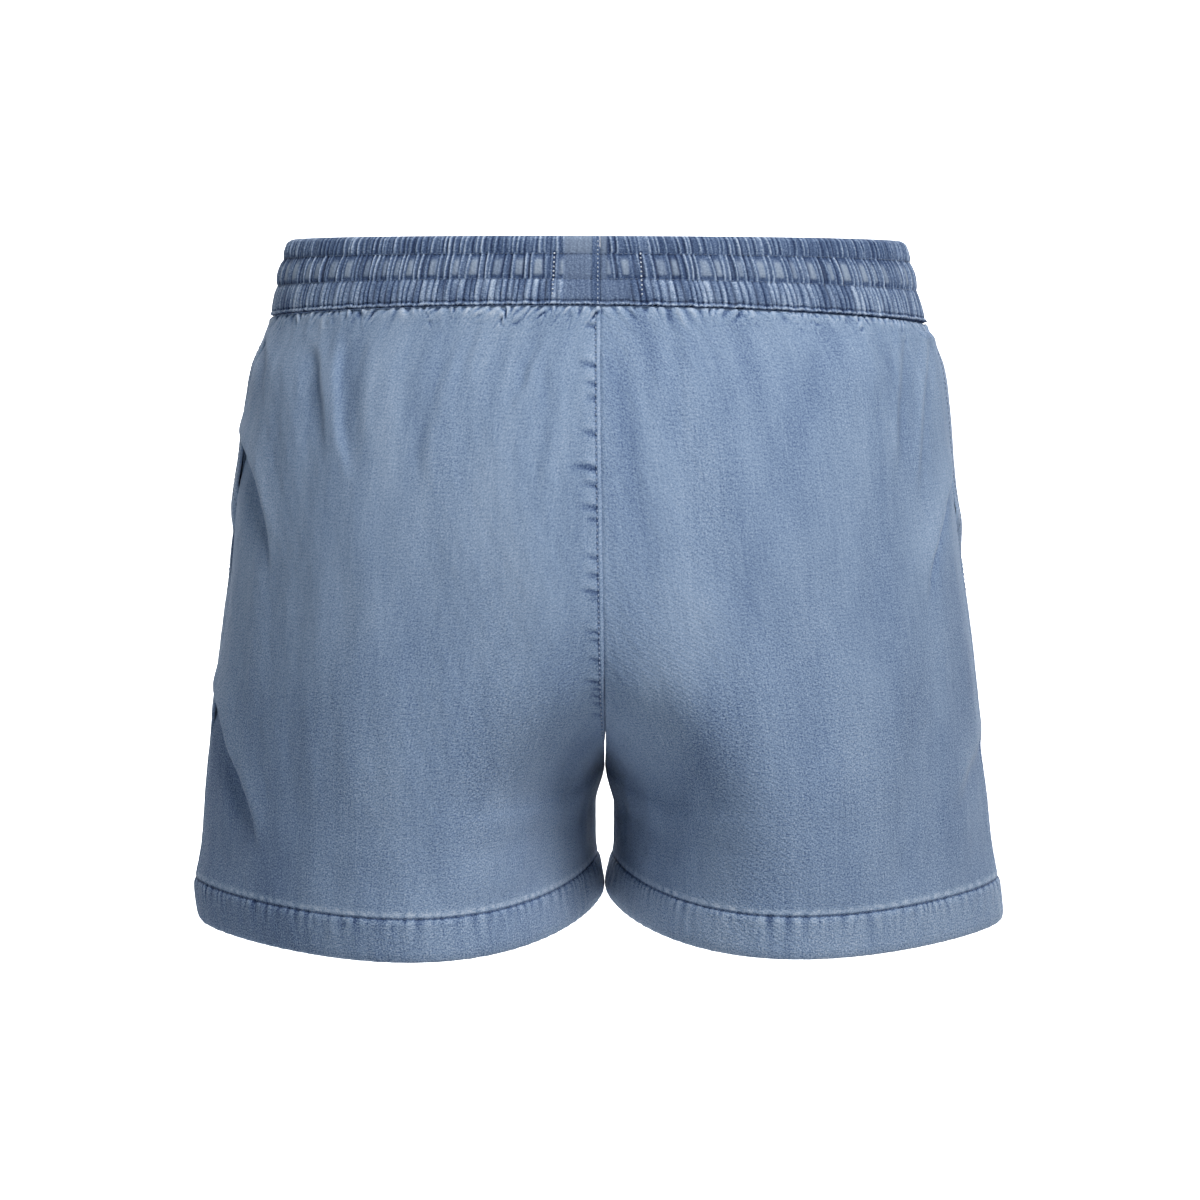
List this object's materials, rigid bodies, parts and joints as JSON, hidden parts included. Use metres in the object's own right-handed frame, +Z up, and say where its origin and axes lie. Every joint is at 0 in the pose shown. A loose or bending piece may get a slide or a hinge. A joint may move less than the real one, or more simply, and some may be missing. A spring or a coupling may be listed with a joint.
{
  "type": "pull-on lyocell shorts",
  "caption": "Short wide-leg lyocell shorts in worn shape, with a gathered elastic waistband, side-seam pockets and turned-up stitched hems.",
  "frame": {"origin": "centre of the waistband, level with the middle of its sides, where the wearer holds the shorts up", "axes": "+Z up, +X towards the wearer's left side, front facing -Y"},
  "size_m": [0.3825, 0.2416, 0.329],
  "materials": {
    "lyocell_cloth": "washed blue twill weave, soft and matt with a faint sheen",
    "gathered_band": "the same cloth gathered over elastic, paler on its ridges",
    "pocket_cloth": "plain light blue pocket cloth, matt"
  },
  "bodies": {
    "root": {"waistband": "gathered_band", "back_left": "lyocell_cloth", "back_right": "lyocell_cloth", "front_left": "lyocell_cloth", "front_right": "lyocell_cloth", "pocket_outer_left": "pocket_cloth", "pocket_inner_left": "pocket_cloth", "pocket_outer_right": "pocket_cloth", "pocket_inner_right": "pocket_cloth"}
  },
  "joints": []
}
